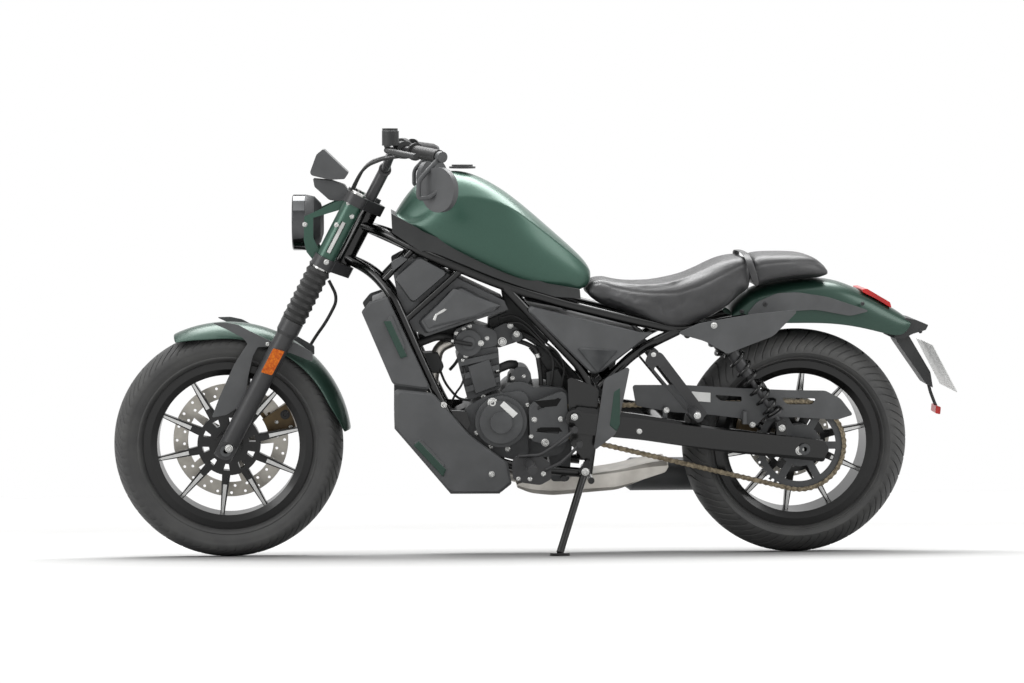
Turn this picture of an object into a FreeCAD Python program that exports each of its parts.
"""Cruiser motorcycle, parked on its side stand.

It is modelled upright: the front wheel's foot at x = 0, +X to the rear, +Z up, the rider's left at -Y. Every
piece is then given the placement of the parked machine, which leans to its left. Lengths are in
millimetres and angles in degrees. Outlines that follow the side view are given in its pixels.
"""
import FreeCAD, Part
import math
import os
import re

import Sketcher
from FreeCAD import Placement, Rotation, Vector

SIZES = (
    # layout
    ("wheelbase", 1560),
    ("eye_distance", 5600),
    ("lean_angle", 10),
    ("seat_gap", 0.3),
    ("running_gap", 0.8),
    ("overrun", 20),
    # wheels and tyres
    ("tyre_radius", 312),
    ("tyre_wall", 9),
    ("bead_radius", 216),
    ("flange_radius", 229),
    ("flange_thickness", 6),
    ("rim_inner_radius", 193),
    ("rim_wall", 6),
    ("rim_shoulder", 9),
    ("front_tyre_half_width", 60),
    ("front_crown_radius", 82),
    ("front_rim_half_width", 41),
    ("rear_tyre_half_width", 80),
    ("rear_crown_radius", 90),
    ("rear_rim_half_width", 58),
    ("hub_radius", 36),
    ("hub_disc_radius", 86),
    ("hub_disc_thickness", 26),
    ("hub_window_radius", 64),
    ("hub_window_size", 9),
    ("front_hub_half_length", 54),
    ("rear_hub_half_length", 62),
    ("spoke_depth", 18),
    ("spoke_ridge_depth", 26),
    ("spoke_ridge_width", 6),
    ("spoke_root_width", 23),
    ("spoke_tip_width", 11),
    ("spoke_start_angle", 12),
    ("spoke_count", 10),
    ("axle_radius", 10),
    ("axle_bore_radius", 6.5),
    ("axle_collar_radius", 17),
    ("axle_nut_radius", 15),
    ("axle_nut_length", 9),
    # brakes
    ("disc_thickness", 5),
    ("front_disc_radius", 158),
    ("front_disc_width", 40),
    ("front_disc_y", 67),
    ("rear_disc_radius", 118),
    ("rear_disc_width", 32),
    ("rear_disc_y", 96),
    ("disc_hole_radius", 4),
    ("disc_hole_count", 24),
    ("disc_arm_width", 16),
    ("disc_arm_count", 5),
    ("disc_boss_radius", 50),
    ("caliper_half_width", 22),
    ("caliper_wall", 26),
    ("caliper_gap", 2),
    # chain drive
    ("chain_pitch", 15.875),
    ("chain_y", 95),
    ("chain_half_width", 7.5),
    ("chain_inner_half_width", 3.6),
    ("chain_half_height", 7.2),
    ("chain_roller_radius", 5),
    ("rear_teeth", 48),
    ("front_teeth", 14),
    ("tooth_height", 3.6),
    ("sprocket_thickness", 5.6),
    ("sprocket_rim_width", 22),
    ("sprocket_hub_radius", 58),
    ("sprocket_arm_width", 20),
    ("sprocket_arm_count", 6),
    ("front_sprocket_x", 885),
    ("front_sprocket_z", 387),
    # steering and fork
    ("fork_rake", 27.5),
    ("fork_half_spacing", 104),
    ("steering_offset", 46),
    ("fork_tube_radius", 20.5),
    ("fork_tube_foot", 120),
    ("slider_radius", 25.5),
    ("slider_collar_radius", 30),
    ("slider_collar_length", 34),
    ("slider_foot", 26),
    ("slider_top", 392),
    ("slider_lug_radius", 25),
    ("gaiter_outer_radius", 33),
    ("gaiter_inner_radius", 28),
    ("gaiter_top", 548),
    ("gaiter_folds", 8),
    ("lower_clamp_low", 554),
    ("clamp_thickness", 30),
    ("upper_clamp_low", 742),
    ("clamp_ring", 10),
    ("clamp_nose", 36),
    ("head_tube_radius", 27),
    ("stem_radius", 15),
    ("stem_cap_height", 12),
    ("cover_radius", 26),
    ("cover_wall", 3),
    ("cover_slot_width", 14),
    ("cover_slot_length", 92),
    ("brake_hose_radius", 4.5),
    ("cable_radius", 4),
    # handlebar and its controls
    ("bar_radius", 11),
    ("riser_radius", 15),
    ("riser_half_spacing", 42),
    ("bar_offset", 34),
    ("bar_height", 863),
    ("bar_flat_y", 70),
    ("bar_bend_y", 150),
    ("bar_hand_y", 265),
    ("bar_tip_y", 405),
    ("bar_bend_x", 450),
    ("bar_hand_x", 486),
    ("bar_tip_x", 566),
    ("bar_bend_z", 1118),
    ("bar_hand_z", 1120),
    ("bar_tip_z", 1107),
    ("grip_radius", 17),
    ("grip_length", 122),
    ("housing_radius", 23),
    ("housing_length", 46),
    ("lever_thickness", 12),
    ("lever_radius", 8),
    ("reservoir_radius", 22),
    ("reservoir_height", 38),
    ("mirror_radius", 57),
    ("mirror_depth", 17),
    ("mirror_arm_radius", 6),
    ("mirror_y", 438),
    # lamp and dial
    ("lamp_z", 918),
    ("lamp_front_x", 178),
    ("lamp_ring_rear_x", 213),
    ("lamp_rear_x", 262),
    ("lamp_radius", 76),
    ("lamp_ring_width", 9),
    ("lamp_wall", 3),
    ("bracket_thickness", 5),
    ("dial_half_width", 55),
    ("dial_neck_half_width", 36),
    # front fender
    ("fender_gap", 26),
    ("fender_crown_drop", 22),
    ("fender_half_width", 77),
    ("fender_wall", 3),
    ("fender_front_angle", 112),
    ("fender_rear_angle", 10),
    # frame
    ("pivot_x", 938),
    ("pivot_z", 397),
    ("frame_half_width", 118),
    ("head_half_width", 32),
    ("rail_radius", 13),
    ("strut_radius", 9),
    ("pivot_shaft_radius", 9),
    ("pivot_cap_radius", 16),
    ("pivot_plate_thickness", 12),
    ("mount_shaft_radius", 8),
    # swingarm and shock absorbers
    ("arm_inner_y", 133),
    ("arm_thickness", 26),
    ("arm_brace_radius", 20),
    ("pivot_boss_radius", 26),
    ("shock_y", 146),
    ("shock_eye_radius", 14),
    ("shock_eye_half_length", 9),
    ("shock_bolt_radius", 6),
    ("shock_body_radius", 17),
    ("shock_rod_radius", 7),
    ("spring_radius", 23),
    ("spring_wire_radius", 4.5),
    ("spring_turns", 8),
    ("spring_plate_radius", 29),
    # side stand
    ("stand_pivot_x", 965),
    ("stand_pivot_y", 150),
    ("stand_pivot_z", 253),
    ("stand_foot_forward", 75),
    ("stand_foot_out", 105),
    ("stand_leg_radius", 10),
    ("stand_eye_radius", 16),
    ("stand_eye_thickness", 14),
    ("stand_cheek_thickness", 6),
    ("stand_bolt_radius", 6),
    ("stand_foot_radius", 27),
    ("stand_foot_thickness", 8),
    # panels
    ("panel_y", 131.5),
    ("panel_face_y", 146),
    ("panel_island_rise", 4),
    ("radiator_half_width", 118),
    ("airbox_half_width", 100),
    ("airbox_face_y", 124),
    ("engine_half_width", 98),
    ("engine_chain_side_y", 82),
    ("cover_face_y", 136),
    ("generator_radius", 70),
    ("generator_boss_radius", 30),
    ("clutch_radius", 80),
    ("cam_cap_radius", 36),
    ("starter_radius", 27),
    ("coolant_hose_radius", 11),
    ("tank_half_width", 148),
    ("seat_half_width", 142),
    ("pillion_half_width", 118),
    ("rear_fender_half_width", 96),
    ("rear_fender_wall", 4),
    ("fender_strut_thickness", 6),
    ("lamp_half_width", 62),
    ("plate_half_width", 95),
    ("plate_thickness", 2),
    ("header_radius", 21),
    ("silencer_y", 150),
    ("silencer_radius", 52),
    ("peg_radius", 13),
    ("rider_peg_y", 330),
    ("passenger_peg_y", 290),
)

# Where the side view has the two wheel centres, and the point that it looks at square on, in pixels.
FRONT_AXLE_PX = (230.2, 442.5)
REAR_AXLE_PX = (794.9, 440.7)
EYE_PX = (367.0, 111.0)

os.makedirs("parts", exist_ok=True)
doc = FreeCAD.newDocument("Cruiser")
sheet = doc.addObject("Spreadsheet::Sheet", "Sizes")
for row, (alias, value) in enumerate(SIZES, 1):
    sheet.set(f"A{row}", alias.replace("_", " "))
    sheet.set(f"B{row}", str(value))
    sheet.setAlias(f"B{row}", alias)
doc.recompute()
ALIASES = {alias for alias, value in SIZES}


def linked(text):
    """The formula with each size's name turned into a reference to its cell."""
    return re.sub(r"[a-z][a-z_0-9]*", lambda word: "Sizes." * (word[0] in ALIASES) + word[0], text)


def size(text):
    """The value of a formula in named sizes."""
    return float(sheet.evalExpression(linked(text)))


# Places

CENTRE = Vector(0, 0, size("tyre_radius"))
REAR_AXLE = Vector(size("wheelbase"), 0, size("tyre_radius"))
ALONG_PX = Vector(REAR_AXLE_PX[0] - FRONT_AXLE_PX[0], REAR_AXLE_PX[1] - FRONT_AXLE_PX[1], 0)
SCALE = size("wheelbase") / ALONG_PX.Length


def side(pixel, y=0.0):
    """The place that the side view shows at a pixel, y to the machine's right."""
    nearer = 1 + y / size("eye_distance")
    right = EYE_PX[0] + (pixel[0] - EYE_PX[0]) * nearer - FRONT_AXLE_PX[0]
    down = EYE_PX[1] + (pixel[1] - EYE_PX[1]) * nearer - FRONT_AXLE_PX[1]
    along = ALONG_PX / ALONG_PX.Length
    across = right * along.x + down * along.y
    up = right * along.y - down * along.x
    return Vector(SCALE * across, y, size("tyre_radius") + SCALE * up)


def on_sides(points):
    """Places given as a side-view pixel and how far out on the left they lie."""
    return [side(pixel, -out) for pixel, out in points]


# Shapes

def rounded(points, share=0.0, closed=True):
    """Straight runs joined by tangent arcs; each arc takes the given share of the shorter run beside it."""
    edges = []
    count = len(points)
    last = points[-1] if closed else points[0]
    for index, corner in enumerate(points):
        following = points[(index + 1) % count]
        if not closed and index in (0, count - 1) or share == 0:
            start = middle = end = corner
        else:
            before = points[index - 1] - corner
            after = following - corner
            reach = share * min(before.Length, after.Length)
            before = before / before.Length
            after = after / after.Length
            half_turn = before.getAngle(after) / 2
            start = corner + before * reach
            end = corner + after * reach
            bisector = (before + after) / (before + after).Length
            centre_reach = reach / math.cos(half_turn)
            middle = corner + bisector * (centre_reach - reach * math.tan(half_turn))
        edges.append((start, middle, end))
    parts = []
    for index, (start, middle, end) in enumerate(edges):
        if (end - start).Length > 0:
            parts.append(Part.Arc(start, middle, end).toShape())
        if index < count - 1 or closed:
            target = edges[(index + 1) % count][0]
            if (target - end).Length > 0.001:
                parts.append(Part.makeLine(end, target))
    return Part.Wire(parts)


def plate(pixels, outer, inner, share=0.0):
    """A flat piece with a side-view outline, from |y| outer on the left in to y = -inner."""
    wire = rounded([side(pixel, -outer) for pixel in pixels], share)
    return Part.Face(wire).extrude(Vector(0, outer - inner, 0))


def layered(pixels, seen, levels, share=0.0):
    """A form through scaled copies of a side-view outline at |y| seen; a level is (y, along, up)."""
    points = [side(pixel, -seen) for pixel in pixels]
    middle = sum(points, Vector()) / len(points)
    wires = []
    for y, along, up in levels:
        wires.append(rounded([
            Vector(middle.x + (point.x - middle.x) * along, y, middle.z + (point.z - middle.z) * up)
            for point in points
        ], share))
    return Part.makeLoft(wires, True, True)


def bar(start, end, radius):
    """A round bar between two places."""
    way = end - start
    return Part.makeCylinder(radius, way.Length, start, way)


def tube(points, radius, share=0.42):
    """A round bar along straight runs joined by tangent arcs."""
    if len(points) == 2:
        return bar(points[0], points[1], radius)
    path = rounded(points, share, closed=False)
    way = points[1] - points[0]
    section = Part.Wire(Part.makeCircle(radius, points[0], way))
    return path.makePipeShell([section], True, False)


def rod(points, radius):
    """Straight round bars from place to place, with a ball at each corner."""
    runs = [bar(start, end, radius) for start, end in zip(points, points[1:])]
    balls = [Part.makeSphere(radius, corner) for corner in points[1:-1]]
    return joined(runs + balls)


def across(place, radius, outer, inner):
    """A round bar along the machine's width, from y = -outer to y = -inner, at a place in the side view."""
    return Part.makeCylinder(radius, outer - inner, Vector(place.x, -outer, place.z), Vector(0, 1, 0))


def mirrored(shape):
    """The same piece on the machine's other side."""
    return shape.mirror(Vector(), Vector(0, 1, 0))


def pair(shape):
    """The piece and its twin on the other side, as separate solids."""
    return together([shape, mirrored(shape)])


def together(shapes):
    """Separate solids of one sub-part."""
    return Part.makeCompound([solid for shape in shapes for solid in shape.Solids])


def joined(shapes):
    """The pieces fused to one."""
    shapes = list(shapes)
    return shapes[0].multiFuse(shapes[1:])


def carved(shape, tools):
    """The piece without the room that others need."""
    return shape.cut(list(tools))


# Sub-parts of the document

nodes = []


def node(shape, label, frame=Placement()):
    """Adds a sub-part whose shape is given in the upright machine's frame or in its own."""
    feature = doc.addObject("Part::Feature", label)
    feature.Shape = shape
    nodes.append((feature, frame.multiply(shape.Placement)))
    return feature


def body(label, frame=Placement()):
    """Adds a sub-part that sketches and features build."""
    made = doc.addObject("PartDesign::Body", label)
    nodes.append((made, frame))
    return made


def origin(owner, role):
    return next(item for item in owner.Origin.OriginFeatures if item.Role == role)


def sketch(owner, role, corners=(), circles=()):
    """Closed outlines on one of a body's own planes, bound to the sheet.

    A corner is (right, up) or (right, up, radius): the edge that leaves it is then an arc, which bulges to
    the right of its way. A circle is (right, up, radius).
    """
    drawn = owner.newObject("Sketcher::SketchObject", "Outline")
    drawn.AttachmentSupport = [(origin(owner, role), "")]
    drawn.MapMode = "FlatFace"
    spots = [Vector(size(corner[0]), size(corner[1]), 0) for corner in corners]
    ends = []
    for index, corner in enumerate(corners):
        start = spots[index]
        end = spots[(index + 1) % len(spots)]
        ends.append((1, 2))
        if len(corner) == 2:
            drawn.addGeometry(Part.LineSegment(start, end), False)
            continue
        radius = size(corner[2])
        chord = end - start
        rise = radius - math.sqrt(radius ** 2 - chord.Length ** 2 / 4)
        middle = (start + end) / 2 + Vector(chord.y, -chord.x, 0) / chord.Length * rise
        drawn.addGeometry(Part.Arc(start, middle, end), False)
        arc = drawn.Geometry[index]
        if (arc.StartPoint - start).Length > (arc.StartPoint - end).Length:
            ends[-1] = (2, 1)
    for index, corner in enumerate(corners):
        following = (index + 1) % len(corners)
        head, tail = ends[index]
        drawn.addConstraint(Sketcher.Constraint("Coincident", index, tail, following, ends[following][0]))
        bind(drawn, Sketcher.Constraint("DistanceX", -1, 1, index, head, spots[index].x), corner[0])
        bind(drawn, Sketcher.Constraint("DistanceY", -1, 1, index, head, spots[index].y), corner[1])
        if len(corner) == 3:
            bind(drawn, Sketcher.Constraint("Radius", index, size(corner[2])), corner[2])
    for right, up, radius in circles:
        centre = Vector(size(right), size(up), 0)
        index = drawn.addGeometry(Part.Circle(centre, Vector(0, 0, 1), size(radius)), False)
        bind(drawn, Sketcher.Constraint("DistanceX", -1, 1, index, 3, centre.x), right)
        bind(drawn, Sketcher.Constraint("DistanceY", -1, 1, index, 3, centre.y), up)
        bind(drawn, Sketcher.Constraint("Radius", index, size(radius)), radius)
    return drawn


def bind(drawn, constraint, formula):
    index = drawn.addConstraint(constraint)
    drawn.setExpression(f"Constraints[{index}]", linked(formula))


def turned(owner, profile):
    """A full turn of a profile about its sketch's upright axis."""
    made = owner.newObject("PartDesign::Revolution", "Turned")
    made.Profile = profile
    made.ReferenceAxis = (profile, ["V_Axis"])
    made.Angle = 360
    return made


def pad(owner, profile, thickness):
    """A profile thickened evenly to both sides of its plane."""
    made = owner.newObject("PartDesign::Pad", "Pad")
    made.Profile = profile
    made.Midplane = True
    made.setExpression("Length", linked(thickness))
    return made


def pocket(owner, profile, depth):
    """A cut to both sides of its profile's plane."""
    made = owner.newObject("PartDesign::Pocket", "Pocket")
    made.Profile = profile
    made.Midplane = True
    made.setExpression("Length", linked(depth))
    return made


def round_pattern(owner, feature, count, role="Y_Axis"):
    """Copies of a feature evenly about one of the body's own axes."""
    made = owner.newObject("PartDesign::PolarPattern", "Round")
    made.Originals = [feature]
    made.Axis = (origin(owner, role), [""])
    made.Angle = 360
    made.setExpression("Occurrences", linked(count))
    owner.Tip = made
    return made


GAP = size("seat_gap")
OVERRUN = size("overrun")
CALIPER_SLOT_ANGLE = 26
FRONT_WHEEL = Placement(CENTRE, Rotation())
REAR_WHEEL = Placement(REAR_AXLE, Rotation())
FORK = Placement(CENTRE, Rotation(Vector(0, 1, 0), size("fork_rake")))


def forked(shape):
    """A shape given in the fork's frame, moved to the upright machine's."""
    moved = shape.copy()
    moved.Placement = FORK.multiply(shape.Placement)
    return moved


def arc_block(centre, inner, outer, start, end, low_y, high_y):
    """A part of a ring about the wheel's axis; angles run from the rear up."""
    section = Part.Face(Part.makePolygon([
        Vector(inner, low_y, 0), Vector(outer, low_y, 0), Vector(outer, high_y, 0), Vector(inner, high_y, 0),
        Vector(inner, low_y, 0),
    ]))
    block = section.revolve(Vector(), Vector(0, -1, 0), end - start)
    block.rotate(Vector(), Vector(0, -1, 0), start)
    block.translate(centre)
    return block


def caliper(centre, radius, y, start, end):
    """A block astride a disc's edge, with the slot that the disc runs through."""
    half = size("caliper_half_width")
    wall = size("caliper_wall")
    slot = size("disc_thickness / 2 + caliper_gap")
    block = arc_block(centre, radius - 2 * wall, radius + wall, start, end, y - half, y + half)
    return carved(block, [arc_block(centre, radius - 3 * wall, radius + wall / 3, start - CALIPER_SLOT_ANGLE,
                                    end + CALIPER_SLOT_ANGLE, y - slot, y + slot)])

# Tyres and cast wheels, each about the Y axis through its own centre

def make_tyre(label, frame, half_width, crown, rim_half_width):
    shoulder = f"tyre_radius - {crown} + sqrt({crown}^2 - {half_width}^2)"
    inner_width = f"({half_width} - tyre_wall)"
    inner_crown = f"({crown} - tyre_wall)"
    inner_shoulder = f"tyre_radius - {crown} + sqrt({inner_crown}^2 - {inner_width}^2)"
    bead_y = f"({rim_half_width} - flange_thickness - seat_gap)"
    bead = "bead_radius + seat_gap"
    tyre = body(label, frame)
    profile = sketch(tyre, "XY_Plane", [
        (shoulder, f"-{half_width}", crown),
        (shoulder, half_width),
        ("flange_radius + tyre_wall", f"{bead_y} + tyre_wall / 2"),
        ("flange_radius + seat_gap", bead_y),
        (bead, bead_y),
        (bead, f"{bead_y} - tyre_wall"),
        (inner_shoulder, inner_width),
        (f"tyre_radius - tyre_wall", "0"),
        (inner_shoulder, f"-{inner_width}"),
        (bead, f"-({bead_y} - tyre_wall)"),
        (bead, f"-{bead_y}"),
        ("flange_radius + seat_gap", f"-{bead_y}"),
        ("flange_radius + tyre_wall", f"-({bead_y} + tyre_wall / 2)"),
    ])
    turned(tyre, profile)


def make_rim(label, frame, half_width, hub_half_length):
    rim = body(label, frame)
    lip = f"({half_width} - flange_thickness)"
    half = [
        ("rim_inner_radius", f"{half_width} - rim_shoulder"),
        ("bead_radius - rim_wall", half_width),
        ("flange_radius", half_width),
        ("flange_radius", lip),
        ("bead_radius", lip),
        ("bead_radius", f"{lip} - rim_shoulder"),
        ("rim_inner_radius + rim_wall", f"{lip} - 2 * rim_shoulder"),
    ]
    turned(rim, sketch(rim, "XY_Plane", half + [(x, f"-({y})") for x, y in reversed(half)]))
    turned(rim, sketch(rim, "XY_Plane", [
        ("axle_radius + seat_gap", hub_half_length),
        ("hub_radius", hub_half_length),
        ("hub_radius", "hub_disc_thickness / 2"),
        ("hub_disc_radius", "hub_disc_thickness / 2"),
        ("hub_disc_radius", "-hub_disc_thickness / 2"),
        ("hub_radius", "-hub_disc_thickness / 2"),
        ("hub_radius", f"-{hub_half_length}"),
        ("axle_radius + seat_gap", f"-{hub_half_length}"),
    ]))
    root = "(hub_disc_radius - rim_wall)"
    tip = "(rim_inner_radius + rim_wall / 2)"
    spoke = pad(rim, sketch(rim, "XZ_Plane", [
        (root, "-spoke_root_width / 2"),
        (tip, "-spoke_tip_width / 2"),
        (tip, "spoke_tip_width / 2"),
        (root, "spoke_root_width / 2"),
    ]), "spoke_depth")
    round_pattern(rim, spoke, "spoke_count")
    ridge = pad(rim, sketch(rim, "XZ_Plane", [
        (root, "-spoke_ridge_width"),
        (tip, "-spoke_ridge_width / 2"),
        (tip, "spoke_ridge_width / 2"),
        (root, "spoke_ridge_width"),
    ]), "spoke_ridge_depth")
    round_pattern(rim, ridge, "spoke_count")
    reach = "(hub_window_radius + hub_window_size)"
    window = pocket(rim, sketch(rim, "XZ_Plane", [
        ("hub_window_radius - hub_window_size", "-hub_window_size / 2"),
        (reach, "-hub_window_size"),
        (reach, "hub_window_size"),
        ("hub_window_radius - hub_window_size", "hub_window_size / 2"),
    ]), "hub_disc_thickness + overrun")
    round_pattern(rim, window, "spoke_count")


def spun(frame):
    """A wheel's frame turned to where its spokes stand."""
    return Placement(frame.Base, Rotation(Vector(0, 1, 0), -size("spoke_start_angle")))


make_tyre("front_tyre", FRONT_WHEEL, "front_tyre_half_width", "front_crown_radius", "front_rim_half_width")
make_tyre("rear_tyre", REAR_WHEEL, "rear_tyre_half_width", "rear_crown_radius", "rear_rim_half_width")
make_rim("front_rim", spun(FRONT_WHEEL), "front_rim_half_width", "front_hub_half_length")
make_rim("rear_rim", spun(REAR_WHEEL), "rear_rim_half_width", "rear_hub_half_length")


# Brake discs and the rear sprocket, carried on the hubs' ends

def make_disc(label, frame, radius, width, y, hub_half_length):
    """The ring stands at the body's own middle plane, and the boss reaches in to the hub."""
    middle = Placement(frame.Base + Vector(0, size(y), 0), frame.Rotation)
    disc = body(label, middle)
    ring = pad(disc, sketch(disc, "XZ_Plane", circles=[
        ("0", "0", radius),
        ("0", "0", f"{radius} - {width}"),
    ]), "disc_thickness")
    turned(disc, sketch(disc, "XY_Plane", [
        ("hub_radius", "disc_thickness / 2"),
        ("disc_boss_radius", "disc_thickness / 2"),
        ("disc_boss_radius", "-disc_thickness / 2"),
        ("hub_radius", f"-({y} - {hub_half_length} - seat_gap)"),
        ("axle_collar_radius + running_gap", f"-({y} - {hub_half_length} - seat_gap)"),
        ("axle_collar_radius + running_gap", "-disc_thickness / 2"),
        ("hub_radius", "-disc_thickness / 2"),
    ]))
    arm = pad(disc, sketch(disc, "XZ_Plane", [
        ("hub_radius + seat_gap", "-disc_arm_width"),
        (f"{radius} - {width} + disc_thickness", "-disc_arm_width / 2"),
        (f"{radius} - {width} + disc_thickness", "disc_arm_width / 2"),
        ("hub_radius + seat_gap", "disc_arm_width"),
    ]), "disc_thickness")
    round_pattern(disc, arm, "disc_arm_count")
    hole_rows = ((f"{radius} - {width} / 4", "0"), (f"{radius} - 3 * {width} / 4", f"{width} / 4"))
    for across_row, up_row in hole_rows:
        holes = pocket(disc, sketch(disc, "XZ_Plane", circles=[
            (across_row, up_row, "disc_hole_radius"),
        ]), "disc_thickness + overrun")
        round_pattern(disc, holes, "disc_hole_count")


make_disc("front_disc", FRONT_WHEEL, "front_disc_radius", "front_disc_width", "front_disc_y",
          "front_hub_half_length")
make_disc("rear_disc", REAR_WHEEL, "rear_disc_radius", "rear_disc_width", "rear_disc_y",
          "rear_hub_half_length")

REAR_PITCH_RADIUS = size("chain_pitch / (2 * sin(180 / rear_teeth))")
FRONT_PITCH_RADIUS = size("chain_pitch / (2 * sin(180 / front_teeth))")
rear_pitch = "(chain_pitch / (2 * sin(180 / rear_teeth)))"
sprocket = body("rear_sprocket", Placement(REAR_AXLE - Vector(0, size("chain_y"), 0), Rotation()))
pad(sprocket, sketch(sprocket, "XZ_Plane", circles=[
    ("0", "0", f"{rear_pitch} + tooth_height"),
    ("0", "0", f"{rear_pitch} - sprocket_rim_width"),
]), "sprocket_thickness")
turned(sprocket, sketch(sprocket, "XY_Plane", [
    ("axle_collar_radius + running_gap", "chain_y - rear_hub_half_length - seat_gap"),
    ("sprocket_hub_radius", "chain_y - rear_hub_half_length - seat_gap"),
    ("sprocket_hub_radius", "-sprocket_thickness / 2"),
    ("axle_collar_radius + running_gap", "-sprocket_thickness / 2"),
]))
sprocket_arm = pad(sprocket, sketch(sprocket, "XZ_Plane", [
    ("sprocket_hub_radius - sprocket_thickness", "-sprocket_arm_width / 2"),
    (f"{rear_pitch} - sprocket_rim_width + sprocket_thickness", "-sprocket_arm_width / 2"),
    (f"{rear_pitch} - sprocket_rim_width + sprocket_thickness", "sprocket_arm_width / 2"),
    ("sprocket_hub_radius - sprocket_thickness", "sprocket_arm_width / 2"),
]), "sprocket_thickness")
round_pattern(sprocket, sprocket_arm, "sprocket_arm_count")
tooth_gap = pocket(sprocket, sketch(sprocket, "XZ_Plane", circles=[
    (rear_pitch, "0", "chain_roller_radius"),
]), "sprocket_thickness + overrun")
round_pattern(sprocket, tooth_gap, "rear_teeth")


# Fork legs, in the fork's own frame: its Z axis runs up the legs from the front wheel's centre

def make_pair(label, made, frame):
    """A body and its mirror image, as one sub-part."""
    nodes[:] = [(item, place) for item, place in nodes if item is not made]
    made.Placement.Base = Vector(0, -size("fork_half_spacing"), 0)
    made.setExpression("Placement.Base.y", linked("-fork_half_spacing"))
    twin = doc.addObject("Part::Mirroring", label + "_twin")
    twin.Source = made
    twin.Normal = (0, 1, 0)
    both = doc.addObject("Part::Compound", label)
    both.Links = [made, twin]
    nodes.append((both, frame))


slider = body("fork_slider")
turned(slider, sketch(slider, "XZ_Plane", [
    ("fork_tube_radius + seat_gap", "slider_top"),
    ("slider_collar_radius", "slider_top"),
    ("slider_collar_radius", "slider_top - slider_collar_length"),
    ("slider_radius", "slider_top - slider_collar_length - clamp_ring"),
    ("slider_radius", "-slider_foot"),
    ("0", "-slider_foot"),
    ("0", "fork_tube_foot - seat_gap"),
    ("fork_tube_radius + seat_gap", "fork_tube_foot - seat_gap"),
]))
pad(slider, sketch(slider, "XZ_Plane", circles=[("0", "0", "slider_lug_radius")]), "2 * slider_radius")
pocket(slider, sketch(slider, "XZ_Plane", circles=[("0", "0", "axle_radius + seat_gap")]),
       "2 * slider_radius + overrun")
make_pair("fork_sliders", slider, FORK)

leg = body("fork_tube")
turned(leg, sketch(leg, "XZ_Plane", [
    ("0", "fork_tube_foot"),
    ("fork_tube_radius", "fork_tube_foot"),
    ("fork_tube_radius", "upper_clamp_low + clamp_thickness + stem_cap_height / 2"),
    ("0", "upper_clamp_low + clamp_thickness + stem_cap_height / 2"),
]))
make_pair("fork_tubes", leg, FORK)

gaiter = body("fork_gaiter")
gaiter_foot = "(slider_top + seat_gap)"
fold = f"((gaiter_top - {gaiter_foot}) / gaiter_folds)"
outer_side = [("gaiter_inner_radius", gaiter_foot)]
inner_side = [("fork_tube_radius + seat_gap", gaiter_foot)]
for index in range(int(size("gaiter_folds"))):
    outer_side.append(("gaiter_outer_radius", f"{gaiter_foot} + {fold} * {index + 0.5}"))
    outer_side.append(("gaiter_inner_radius", f"{gaiter_foot} + {fold} * {index + 1}"))
inner_side.append(("fork_tube_radius + seat_gap", "gaiter_top"))
turned(gaiter, sketch(gaiter, "XZ_Plane", outer_side + inner_side[::-1]))
make_pair("fork_gaiters", gaiter, FORK)

axle = body("front_axle", FRONT_WHEEL)
axle_end = "(fork_half_spacing + slider_radius + axle_nut_length)"
axle_half = [
    ("axle_nut_radius", axle_end),
    ("axle_nut_radius", "fork_half_spacing + slider_radius + seat_gap"),
    ("axle_radius", "fork_half_spacing + slider_radius + seat_gap"),
    ("axle_radius", "fork_half_spacing - slider_radius - seat_gap"),
    ("axle_collar_radius", "fork_half_spacing - slider_radius - seat_gap"),
    ("axle_collar_radius", "front_hub_half_length + running_gap"),
    ("axle_radius", "front_hub_half_length + running_gap"),
]
turned(axle, sketch(axle, "XY_Plane", [("axle_bore_radius", axle_end)] + axle_half
                    + [(x, f"-({y})") for x, y in reversed(axle_half)]
                    + [("axle_bore_radius", f"-{axle_end}")]))

axle = body("rear_axle", REAR_WHEEL)
outer_end = "(arm_inner_y + arm_thickness + axle_nut_length)"
turned(axle, sketch(axle, "XY_Plane", [
    ("axle_bore_radius", outer_end),
    ("axle_nut_radius", outer_end),
    ("axle_nut_radius", "arm_inner_y + arm_thickness + seat_gap"),
    ("axle_radius", "arm_inner_y + arm_thickness + seat_gap"),
    ("axle_radius", "arm_inner_y - seat_gap"),
    ("axle_collar_radius", "arm_inner_y - seat_gap"),
    ("axle_collar_radius", "rear_hub_half_length + running_gap"),
    ("axle_radius", "rear_hub_half_length + running_gap"),
    ("axle_radius", "-(rear_hub_half_length + running_gap)"),
    ("axle_collar_radius", "-(rear_hub_half_length + running_gap)"),
    ("axle_collar_radius", "-(arm_inner_y - seat_gap)"),
    ("axle_radius", "-(arm_inner_y - seat_gap)"),
    ("axle_radius", "-(arm_inner_y + arm_thickness + seat_gap)"),
    ("axle_nut_radius", "-(arm_inner_y + arm_thickness + seat_gap)"),
    ("axle_nut_radius", f"-{outer_end}"),
    ("axle_bore_radius", f"-{outer_end}"),
]))


# Frame: tubes along side-view routes, each point with how far out it lies

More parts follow.
